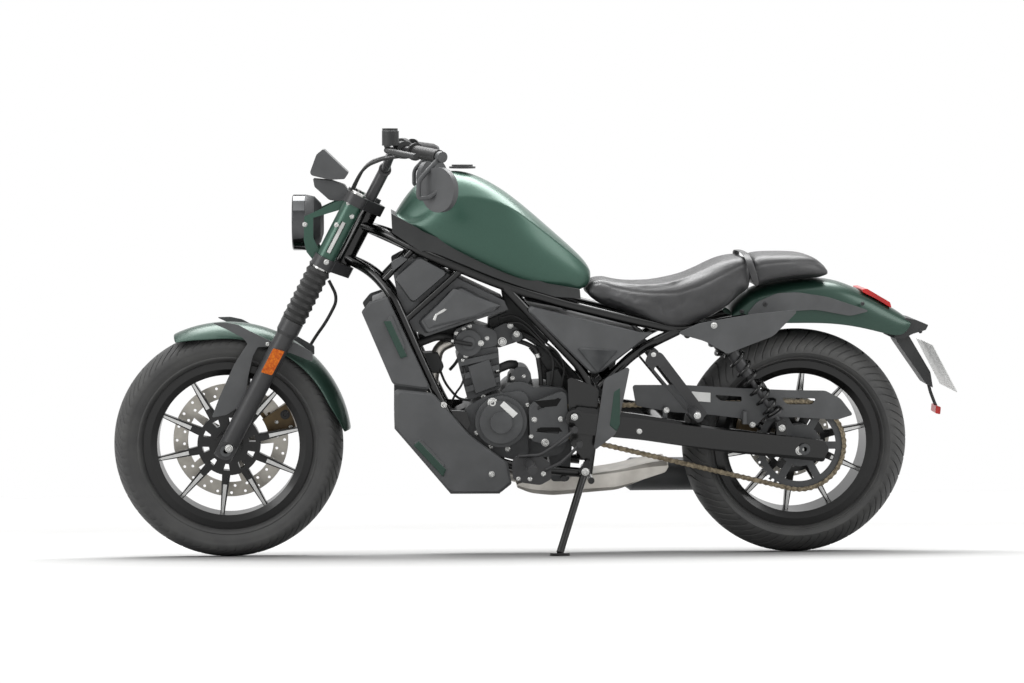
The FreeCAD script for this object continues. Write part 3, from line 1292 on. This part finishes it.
tyre_room = across(REAR_AXLE, size("tyre_radius") + OVERRUN, FENDER_OUT - 2 * FENDER_WALL,
                   -FENDER_OUT + 2 * FENDER_WALL)
rear_fender = carved(fender, [hollow, tyre_room, ROOM])
node(rear_fender, "rear_fender")

FENDER_STRUT = ((747, 313), (756.4, 301.4), (776.8, 292.5), (797.2, 291.7), (827.9, 296.3),
                (871.2, 310.4), (850.8, 315.5), (815, 309), (775, 312), (752, 323))
strut_in = FENDER_OUT + GAP
fender_strut = plate(FENDER_STRUT, strut_in + size("fender_strut_thickness"), strut_in, 0.2)
fender_strut = carved(fender_strut, [ROOM])
node(pair(fender_strut), "fender_struts")

RIDER_SEAT = ((583, 293.8), (593, 276), (611, 282.3), (644.2, 284.1), (674.8, 279.7), (702.9, 268.3),
              (725.8, 256.8), (738.6, 254.2), (747, 270), (749, 284), (738.6, 291.2), (725.8, 306.5),
              (715, 314), (695.2, 322), (677.3, 330), (658, 327), (636.5, 317), (600, 306), (586, 299))
PILLION = ((753, 254.2), (810, 254.7), (827.9, 272.1), (822.8, 277), (789.6, 284), (757, 290))
SEAT_OUT = size("seat_half_width")
PILLION_OUT = size("pillion_half_width")
seat = layered(RIDER_SEAT, SEAT_OUT, (
    (-SEAT_OUT, 0.93, 0.5), (-SEAT_OUT * 0.92, 0.98, 0.85), (-SEAT_OUT * 0.7, 1, 1),
    (SEAT_OUT * 0.7, 1, 1), (SEAT_OUT * 0.92, 0.98, 0.85), (SEAT_OUT, 0.93, 0.5),
), 0.2)
seat = carved(seat, [ROOM, tank.translated(Vector(GAP, 0, 0)), rear_fender.translated(Vector(-GAP, 0, GAP)),
                     rear_fender, tank_base.translated(Vector(GAP, 0, 0))])
node(seat, "rider_seat")
pillion = layered(PILLION, PILLION_OUT, (
    (-PILLION_OUT, 0.93, 0.55), (-PILLION_OUT * 0.85, 1, 1), (PILLION_OUT * 0.85, 1, 1),
    (PILLION_OUT, 0.93, 0.55),
), 0.2)
pillion = carved(pillion, [rear_fender.translated(Vector(0, 0, GAP)), rear_fender])
node(pillion, "pillion_seat")

SEAT_SIDE = ((677, 333), (699, 323), (751, 314), (800, 309), (774, 336), (745, 347), (728, 354), (705, 341))
shock_out = size("shock_y + spring_plate_radius")
cover_bottom = shock_out + GAP
seat_side = plate(SEAT_SIDE, cover_bottom + size("disc_thickness"), cover_bottom, 0.15)
hanger = across(SHOCK_TOP, size("pivot_cap_radius"), cover_bottom + GAP,
                eye_out + size("pivot_cap_radius") + GAP)
node(pair(joined([seat_side, hanger])), "shock_covers")

LAMP_OUT = size("lamp_half_width")
TAIL_LAMP = ((862, 288.5), (867, 288), (890.5, 301.5), (892, 306.5), (888, 309), (864, 297))
lamp = plate(TAIL_LAMP, LAMP_OUT, -LAMP_OUT, 0.2)
lamp = carved(lamp, [fender.translated(Vector(0, 0, GAP)), fender])
REFLECTOR_LENS = ((939.5, 406), (944.5, 407.5), (944, 415), (939, 414))
lens_out = size("cover_radius")
rear_lens = plate(REFLECTOR_LENS, lens_out, -lens_out, 0.2)
node(together([lamp, rear_lens]), "tail_lamp")

PLATE_ARM = ((893, 325), (907, 330), (933, 372), (936, 388), (929, 384), (898, 341))
TAIL_END = ((906, 317), (918, 319.5), (929.9, 324.4), (927.5, 329.5), (914, 333.5), (905, 338.5),
            (894, 338), (899, 333))
REFLECTOR_ROD = (((927, 370), 0), ((933, 392), 0), ((938, 404), 0), ((939.5, 407), 0))
arm_out = LAMP_OUT * 0.6
holder = joined([plate(PLATE_ARM, arm_out, -arm_out, 0.1), plate(TAIL_END, LAMP_OUT, -LAMP_OUT, 0.15),
                 carved(tube(on_sides(REFLECTOR_ROD), size("spring_wire_radius"), 0.3),
                        [rear_lens, rear_lens.translated(Vector(-GAP, 0, 0)),
                         rear_lens.translated(Vector(0, 0, GAP))])])
holder = carved(holder, [rear_fender, rear_fender.translated(Vector(0, 0, -GAP)),
                         rear_fender.translated(Vector(GAP, 0, 0))])
PLATE_TOP = side((925, 341), 0)
PLATE_LOW = side((951, 388), 0)
plate_way = (PLATE_LOW - PLATE_TOP).normalize()
plate_normal = Vector(-plate_way.z, 0, plate_way.x)
number_plate = Part.makeBox(2 * size("plate_half_width"), size("plate_thickness"),
                            (PLATE_LOW - PLATE_TOP).Length)
number_plate.translate(Vector(-size("plate_half_width"), 0, 0))
number_plate.Placement = Placement(PLATE_TOP, Rotation(
    Vector(0, 1, 0), plate_normal, plate_way, "ZXY")).multiply(number_plate.Placement)
number_plate = Part.Solid(number_plate)
node(holder, "plate_holder")
node(number_plate, "licence_plate")

# Foot pegs, their brackets and the levers

RIDER_PEG = side((533.6, 472), -size("rider_peg_y"))
PASSENGER_BRACKET = ((650, 350), (662, 353), (709, 414), (700, 424), (692, 418), (645, 362))
PASSENGER_SLOT = ((655, 370), (659, 366), (692, 408), (690, 411))
PEG_PLATE = ((512.5, 462), (519, 455), (540, 456), (551, 464), (552.5, 480), (541, 486.5), (523, 484),
             (513, 480))
LINK_ROUTES = (
    ((519, 457), (541, 456), (557, 445), (575, 430.5)),
    ((546, 471), (561, 464), (571, 455), (580, 445)),
)
LINK_ENDS_PX = ((575, 430.5), (580, 445))
BRAKE_ROUTE = ((546, 468), (525, 466), (500, 473), (488, 473))
BRAKE_TOE_PX = (488, 473)
PASSENGER_PEG = side((701, 418), -size("passenger_peg_y"))
peg = size("peg_radius")
rider_peg = joined([
    across(RIDER_PEG, peg, size("rider_peg_y"), FACE + OVERRUN * 3),
    tube([Vector(RIDER_PEG.x, -FACE - OVERRUN * 4, RIDER_PEG.z),
          Vector(RIDER_PEG.x, -FACE - OVERRUN, RIDER_PEG.z),
          side((537, 468.5), -LEG_OUT)], size("strut_radius"), 0.3),
])
rider_peg = carved(rider_peg, [ROOM])
bracket_in = ARM_OUT + size("rim_wall")
passenger = joined([
    carved(plate(PASSENGER_BRACKET, bracket_in + size("tyre_wall"), bracket_in, 0.2),
           [plate(PASSENGER_SLOT, ARM_OUT + OVERRUN * 2, ARM_OUT, 0.3)]),
    across(PASSENGER_PEG, peg, size("passenger_peg_y"), bracket_in + GAP),
    across(side((655, 352.5), -bracket_in), size("strut_radius"), bracket_in + GAP, LEG_OUT),
])
passenger = carved(passenger, [ROOM])
lever = size("spring_wire_radius")
plate_in = FACE + OVERRUN * 3
lever_y = plate_in + size("tyre_wall")
peg_plate = plate(PEG_PLATE, plate_in + size("tyre_wall"), plate_in, 0.25)
links = [tube([side(pixel, -lever_y) for pixel in route], lever, 0.3) for route in LINK_ROUTES]
LINK_END_SHARE = 1.4
link_ends = [across(side(pixel, -lever_y), lever * 2, lever_y + lever * LINK_END_SHARE,
                    lever_y - lever * LINK_END_SHARE) for pixel in LINK_ENDS_PX]
left_peg = joined([rider_peg, peg_plate] + links + link_ends)
brake_pedal = tube([side(pixel, -lever_y) for pixel in BRAKE_ROUTE], lever, 0.3)
brake_toe = across(side(BRAKE_TOE_PX, -lever_y), lever * 2, lever_y + size("rider_peg_y / 5"),
                   lever_y - lever * LINK_END_SHARE)
right_peg = mirrored(joined([rider_peg, peg_plate, brake_pedal, brake_toe]))
node(together([left_peg, right_peg, pair(passenger)]), "foot_pegs")

# Rear caliper on the right arm

REAR_CALIPER_ANGLES = (140, 175)
REAR_CALIPER_STAY_ANGLES = (158, 178)
rear_caliper = caliper(REAR_AXLE, size("rear_disc_radius"), size("rear_disc_y"), *REAR_CALIPER_ANGLES)
stay = arc_block(REAR_AXLE, size("rear_disc_radius - caliper_wall"), size("rear_disc_radius"),
                 *REAR_CALIPER_STAY_ANGLES, size("rear_disc_y + caliper_half_width") - GAP, ARM_FACE - GAP)
rear_caliper = joined([rear_caliper, stay])
node(rear_caliper, "rear_caliper")


# Parts that steer, in the fork's frame: clamps, stem, covers and risers

def clamp(low, grown):
    """A clamp round both legs and the stem, thicker all round by the given gap."""
    half = size("fork_half_spacing")
    offset = size("steering_offset")
    ring = size("fork_tube_radius + clamp_ring") + grown
    nose = size("clamp_nose") + grown
    thick = size("clamp_thickness") + 2 * grown
    foot = low - grown
    pieces = [Part.makeCylinder(ring, thick, Vector(0, y, foot)) for y in (-half, half)]
    pieces.append(Part.makeCylinder(nose, thick, Vector(offset, 0, foot)))
    outline = [Vector(-ring * 0.7, half, foot), Vector(-ring * 0.7, -half, foot),
               Vector(ring * 0.7, -half - ring * 0.4, foot), Vector(offset + nose * 0.8, -nose * 0.6, foot),
               Vector(offset + nose * 0.8, nose * 0.6, foot), Vector(ring * 0.7, half + ring * 0.4, foot)]
    pieces.append(Part.Face(Part.makePolygon(outline + outline[:1])).extrude(Vector(0, 0, thick)))
    return joined(pieces)


LOWER = size("lower_clamp_low")
UPPER = size("upper_clamp_low")
CLAMP_THICK = size("clamp_thickness")
OFFSET = size("steering_offset")
HALF = size("fork_half_spacing")
leg_room = [Part.makeCylinder(size("fork_tube_radius") + GAP, UPPER, Vector(0, y, size("slider_top")))
            for y in (-HALF, HALF)]
stem = Part.makeCylinder(size("stem_radius"), UPPER - LOWER, Vector(OFFSET, 0, LOWER + CLAMP_THICK / 2))
stem_cap = Part.makeCylinder(size("stem_radius") * 1.2, size("stem_cap_height"),
                             Vector(OFFSET, 0, UPPER + CLAMP_THICK - GAP))
clamps = carved(joined([clamp(LOWER, 0), clamp(UPPER, 0), stem, stem_cap]), leg_room)
node(clamps, "triple_clamps", FORK)

BRACKET_IN = size("lamp_radius") + GAP
BRACKET_OUT = BRACKET_IN + size("bracket_thickness")
BRACKET = ((305.5, 217.1), (337, 202.4), (355.7, 199), (357, 207), (345, 209.1), (314.2, 218.4),
           (314.2, 237.9), (321.6, 253.9), (332.9, 269.3), (316.9, 264), (307.5, 251.9), (304.8, 240.5))
cover_low = LOWER + CLAMP_THICK + GAP
cover_high = UPPER - GAP
covers = []
cover_slots = []
for y, face in ((-HALF, -HALF - size("cover_radius + cover_wall")), (HALF, HALF + size("cover_radius / 2"))):
    shell = Part.makeCylinder(size("cover_radius"), cover_high - cover_low, Vector(0, y, cover_low))
    covers.append(forked(shell))
    slot_low = cover_low + size("clamp_thickness / 2")
    slot = Part.makeBox(size("cover_slot_width"), size("cover_radius / 2 + cover_wall"),
                        size("cover_slot_length"), Vector(-size("cover_slot_width") / 2, face, slot_low))
    cover_slots.append(forked(slot))
bracket = plate(BRACKET, BRACKET_OUT, BRACKET_IN)
cover_bore = [forked(Part.makeCylinder(size("cover_radius - cover_wall"), UPPER, Vector(0, y, LOWER)))
              for y in (-HALF, HALF)]
clamp_rooms = [forked(clamp(LOWER, GAP)), forked(clamp(UPPER, GAP))]
lamp_bracket = carved(joined([bracket, mirrored(bracket)] + covers), cover_bore + clamp_rooms + cover_slots)
node(lamp_bracket, "headlight_bracket")

# Handlebar, its risers, grips and what the hands reach

BAR_MIDDLE = FORK.multVec(Vector(size("bar_offset"), 0, size("bar_height")))
RISER_TOP = size("bar_height")
bar_half = [
    Vector(BAR_MIDDLE.x, size("bar_flat_y"), BAR_MIDDLE.z),
    Vector(size("bar_bend_x"), size("bar_bend_y"), size("bar_bend_z")),
    Vector(size("bar_hand_x"), size("bar_hand_y"), size("bar_hand_z")),
    Vector(size("bar_tip_x"), size("bar_tip_y"), size("bar_tip_z")),
]
bar_route = [Vector(place.x, -place.y, place.z) for place in reversed(bar_half)] + bar_half
handlebar = tube(bar_route, size("bar_radius"), 0.35)
node(handlebar, "handlebar")
bar_room = tube(bar_route, size("bar_radius") + GAP, 0.35)
risers = []
for y in (-size("riser_half_spacing"), size("riser_half_spacing")):
    post = forked(Part.makeCylinder(size("riser_radius"), RISER_TOP - UPPER - CLAMP_THICK - GAP, Vector(
        size("bar_offset"), y, UPPER + CLAMP_THICK + GAP)))
    half_round = size("riser_radius + flange_thickness / 2")
    grip_round = bar(Vector(BAR_MIDDLE.x, y - half_round, BAR_MIDDLE.z),
                     Vector(BAR_MIDDLE.x, y + half_round, BAR_MIDDLE.z), size("bar_radius + rim_wall"))
    risers.append(carved(joined([post, grip_round]), [bar_room]))
node(Part.makeCompound(risers), "handlebar_risers")

hand = Vector(bar_half[2].x, -bar_half[2].y, bar_half[2].z)
tip = Vector(bar_half[3].x, -bar_half[3].y, bar_half[3].z)
bend = Vector(bar_half[1].x, -bar_half[1].y, bar_half[1].z)
grip_way = (tip - hand).normalize()
hand_way = (hand - bend).normalize()
grip_end = tip - grip_way * GAP
grip_start = grip_end - grip_way * size("grip_length")
bar_core = bar(hand - grip_way * OVERRUN, tip + grip_way * OVERRUN, size("bar_radius") + GAP)
grip = carved(joined([
    bar(grip_start, grip_end, size("grip_radius")),
    bar(grip_start, grip_start + grip_way * size("rim_wall"), size("grip_radius + rim_wall")),
]), [bar_core])
node(pair(grip), "grips")

housing_start = bend + hand_way * ((hand - bend).Length - size("housing_length"))
housing = bar(housing_start, housing_start + hand_way * size("housing_length") * 0.7, size("housing_radius"))
forward = Vector(grip_way.y, -grip_way.x, 0).normalize()
if forward.x > 0:
    forward = -forward
perch = housing_start + hand_way * size("housing_length") * 0.35
lever_root = perch + forward * size("housing_radius + housing_length") * 0.72
lever_knee = lever_root + grip_way * size("housing_length") * 0.9 + forward * size("tyre_wall")
lever_tip = lever_knee + grip_way * size("grip_length")
reservoir_foot = perch + forward * size("housing_radius") * 1.7 + Vector(0, 0, size("lever_thickness"))
controls = joined([
    housing,
    rod([perch, lever_root, lever_knee, lever_tip], size("lever_radius")),
    bar(perch - hand_way * size("lever_radius"), reservoir_foot + Vector(0, 0, size("reservoir_height") / 2),
        size("lever_radius") * 1.3),
    Part.makeCylinder(size("reservoir_radius"), size("reservoir_height"), reservoir_foot),
])
controls = carved(controls, [bar_room])
node(pair(controls), "bar_controls")
controls_room = together([controls, mirrored(controls), controls.translated(Vector(0, 0, -GAP)),
                          mirrored(controls).translated(Vector(0, 0, -GAP))])

MIRROR_ARM = (((436.5, 155.5), 421), ((419.3, 181.6), size("mirror_y")), ((419.3, 199), size("mirror_y")),
              ((430, 198), size("mirror_y")))
MIRROR_CENTRE = side((440, 190.3), -size("mirror_y"))
mirror_points = [side(pixel, -out) for pixel, out in MIRROR_ARM]
mirror_points[0] = tip + grip_way * (size("rim_wall") + GAP)
MIRROR_TURN = math.radians(44)
mirror_way = Vector(math.sin(MIRROR_TURN), math.cos(MIRROR_TURN), 0)
mirror_disc = bar(MIRROR_CENTRE - mirror_way * size("mirror_depth") / 2,
                  MIRROR_CENTRE + mirror_way * size("mirror_depth") / 2, size("mirror_radius"))
bar_end = bar(tip + grip_way * GAP, tip + grip_way * size("rim_wall") * 3, size("bar_radius + rim_wall / 2"))
mirror = joined([bar_end, tube(mirror_points, size("mirror_arm_radius"), 0.3),
                 bar(mirror_points[-1], MIRROR_CENTRE, size("mirror_arm_radius")), mirror_disc])
node(pair(mirror), "mirrors")

# Headlight and dial

LAMP_Z = size("lamp_z")


def turned_on_x(points, z):
    """A full turn of (x, radius) points about an axis along the machine."""
    places = [Vector(x, 0, z + radius) for x, radius in points]
    return Part.Face(Part.makePolygon(places + places[:1])).revolve(Vector(0, 0, z), Vector(1, 0, 0), 360)


front_x = size("lamp_front_x")
ring_x = size("lamp_ring_rear_x")
lamp_rear = size("lamp_rear_x")
lamp_radius = size("lamp_radius")
lamp_wall = size("lamp_wall")
ring_in = lamp_radius - size("lamp_ring_width")
shell = turned_on_x([
    (ring_x, lamp_radius), (ring_x + (lamp_rear - ring_x) * 0.5, lamp_radius * 0.93),
    (ring_x + (lamp_rear - ring_x) * 0.85, lamp_radius * 0.7), (lamp_rear, lamp_radius * 0.4),
    (lamp_rear, 0), (lamp_rear - lamp_wall, 0), (lamp_rear - lamp_wall, lamp_radius * 0.4),
    (ring_x + (lamp_rear - ring_x) * 0.8, lamp_radius * 0.66),
    (ring_x, lamp_radius - lamp_wall),
], LAMP_Z)
node(shell, "headlight_shell")
ring = turned_on_x([
    (front_x, ring_in), (front_x, lamp_radius - lamp_wall), (front_x + lamp_wall, lamp_radius),
    (ring_x - GAP, lamp_radius), (ring_x - GAP, ring_in),
], LAMP_Z)
node(ring, "headlight_ring")
lens = turned_on_x([
    (front_x + lamp_wall, 0), (front_x + lamp_wall * 1.5, ring_in * 0.5),
    (front_x + lamp_wall * 3, ring_in - GAP), (front_x + lamp_wall * 5, ring_in - GAP),
    (front_x + lamp_wall * 5, 0),
], LAMP_Z)
node(lens, "headlight_lens")

DIAL = ((324.2, 150.8), (349, 174.2), (345, 180.3), (330.3, 181), (310.2, 176.2), (317.5, 156.2))
DIAL_NECK = ((314, 180), (315.5, 188), (330, 201), (354, 203), (350, 194), (345, 186), (331.6, 181.6))
dial_out = size("dial_half_width")
neck_out = size("dial_neck_half_width")
dial_body = joined([plate(DIAL, dial_out, -dial_out, 0.2)])
dial_neck = carved(plate(DIAL_NECK, neck_out, -neck_out, 0.1), clamp_rooms + [
    dial_body, dial_body.translated(Vector(0, 0, -GAP))] + [item for item in risers])
node(together([dial_body, dial_neck]), "instrument")

# Front fender, its stays and the caliper

fender_crown = size("tyre_radius + fender_gap")
FENDER_SECTION_SHARES = ((1, 2.3), (1, 1.1), (0.8, 0.45), (0.45, 0.1), (0, 0))
fender_half = size("fender_half_width")
drop = size("fender_crown_drop")
fender_wall = size("fender_wall")
outer_line = [Vector(fender_crown - drop * low, fender_half * wide, 0)
              for wide, low in FENDER_SECTION_SHARES]
inner_line = [Vector(fender_crown - fender_wall - drop * low, (fender_half - fender_wall) * wide, 0)
              for wide, low in FENDER_SECTION_SHARES]
inner_line[0].x = outer_line[0].x
loop = outer_line + [Vector(p.x, -p.y, 0) for p in reversed(outer_line[:-1])]
loop += [Vector(p.x, -p.y, 0) for p in inner_line[:-1]] + list(reversed(inner_line))
section = Part.Face(Part.makePolygon(loop + loop[:1]))
front_fender = section.revolve(Vector(), Vector(0, -1, 0), size("fender_front_angle - fender_rear_angle"))
front_fender.rotate(Vector(), Vector(0, -1, 0), size("fender_rear_angle"))
front_fender.translate(CENTRE)
FENDER_NOSE_CUT = ((150, 312), (183, 329), (214, 343), (214, 390), (150, 390))
FENDER_TAIL_CUT = ((353, 424), (333, 399), (318, 399), (318, 470), (380, 470), (380, 436))
front_fender = carved(front_fender, [plate(cut, 2 * fender_half, -2 * fender_half)
                                     for cut in (FENDER_NOSE_CUT, FENDER_TAIL_CUT)])
node(front_fender, "front_fender")

slider_rooms = [forked(Part.makeCylinder(size("slider_radius") + GAP, size("slider_top + slider_foot"),
                                         Vector(0, y, -size("slider_foot")))) for y in (-HALF, HALF)]
slider_rooms += [across(CENTRE, size("slider_lug_radius") + GAP, 2 * HALF, -2 * HALF)]
FENDER_STAY = ((214.5, 322.5), (228, 322), (240, 324.5), (252, 331), (273, 341), (271, 346), (259, 346.5),
               (254, 356), (249, 378), (247, 398), (240, 406), (228, 414), (213, 417), (221, 396),
               (236, 363), (249, 343), (244, 337), (230, 329.5))
FENDER_REAR_STAY = ((282, 340), (296, 342), (313, 352), (313, 361), (290, 352), (280, 350))
rear_stay_room = plate(FENDER_REAR_STAY, -fender_half, -fender_half - size("bracket_thickness") - 2 * GAP)
stay_in = fender_half + GAP
stay_out = stay_in + size("bracket_thickness")
stays = []
for outline in (FENDER_STAY, FENDER_REAR_STAY):
    piece = carved(plate(outline, stay_out, stay_in, 0.15), slider_rooms)
    stays += [piece, mirrored(piece)]
node(Part.makeCompound(stays), "fender_stays")

FRONT_CALIPER_ANGLES = (8, 34)
FRONT_HANGER_ANGLES = (12, 50)
front_caliper = caliper(CENTRE, size("front_disc_radius"), size("front_disc_y"), *FRONT_CALIPER_ANGLES)
hanger = arc_block(CENTRE, size("front_disc_radius - 2 * caliper_wall"), size("front_disc_radius"),
                   *FRONT_HANGER_ANGLES, size("front_disc_y + disc_thickness / 2 + caliper_gap"),
                   size("front_disc_y + caliper_half_width"))
front_caliper = carved(joined([front_caliper, hanger]), slider_rooms)
node(front_caliper, "front_caliper")

REFLECTOR = ((274.3, 347.8), (285.5, 351), (273, 374.7), (262, 371.6))
slider_face = HALF + size("slider_radius")
reflector = plate(REFLECTOR, slider_face + GAP + size("disc_thickness"), slider_face + GAP, 0.1)
node(pair(reflector), "fork_reflectors")

# Brake hose and bar cables, which turn with the fork

HOSE_ROUTE = (((329, 280), -80), ((338, 298), -72), ((327, 320), -74), ((314, 338), -90), ((303, 358), -92),
              ((294, 384), -86), ((283, 412), -78))
CABLE_ROUTES = (
    (((399, 158), 232), ((384, 160), 205), ((364, 168), 130), ((351, 192), 74), ((346, 216), 60),
     ((320, 232), 30)),
    (((399, 158), -232), ((386, 158), -205), ((366, 164), -130), ((353, 190), -74), ((347, 218), -60),
     ((320, 238), -30)),
)
hose = tube(on_sides(HOSE_ROUTE), size("brake_hose_radius"), 0.45)
hose = carved(hose, slider_rooms + [
    forked(clamp(LOWER, GAP)), front_caliper, front_caliper.translated(Vector(0, 0, GAP)),
    front_fender, rear_stay_room,
])
node(max(hose.Solids, key=lambda solid: solid.Volume), "brake_hose")
cables = []
for route in CABLE_ROUTES:
    cable = tube(on_sides(route), size("cable_radius"), 0.45)
    cable = carved(cable, [shell, shell.translated(Vector(GAP, 0, 0)), bar_room, controls_room] + clamp_rooms)
    cables.append(max(cable.Solids, key=lambda solid: solid.Volume))
node(together(cables), "bar_cables")

# The parked machine leans to its left about the line where its tyres touch the ground

doc.recompute()
lean = Rotation(Vector(1, 0, 0), size("lean_angle"))
crown = size("(front_crown_radius + rear_crown_radius) / 2")
lift = crown * (1 - math.cos(math.radians(size("lean_angle"))))
leaned = Placement(Vector(0, 0, lift), lean)
low = Vector(math.inf, math.inf, 0)
high = Vector(-math.inf, -math.inf, 0)
for item, frame in nodes:
    item.Placement = leaned.multiply(frame)
doc.recompute()
shapes = {item.Label: item.Shape.copy() for item, frame in nodes}
for label, shape in shapes.items():
    if shape.isNull() or not shape.Solids:
        raise RuntimeError(f"{label} holds no solid")
    box = shape.optimalBoundingBox(True, False)
    low = Vector(min(low.x, box.XMin), min(low.y, box.YMin), 0)
    high = Vector(max(high.x, box.XMax), max(high.y, box.YMax), 0)
parked = Placement(-(low + high) / 2, Rotation()).multiply(leaned)
for item, frame in nodes:
    item.Placement = parked.multiply(frame)
doc.recompute()

for item in doc.Objects:
    if {"Invalid", "Error"} & set(item.State):
        raise RuntimeError(f"{item.Label}: {item.State}")
for item, frame in nodes:
    if item.Shape.isNull() or not item.Shape.isValid() or not item.Shape.Solids:
        raise RuntimeError(f"{item.Label} is not a valid solid")
for item, frame in nodes:
    item.Shape.exportStep(f"parts/{item.Label}.step")
print(len(nodes), "sub-parts,", "parked at", parked.Base)
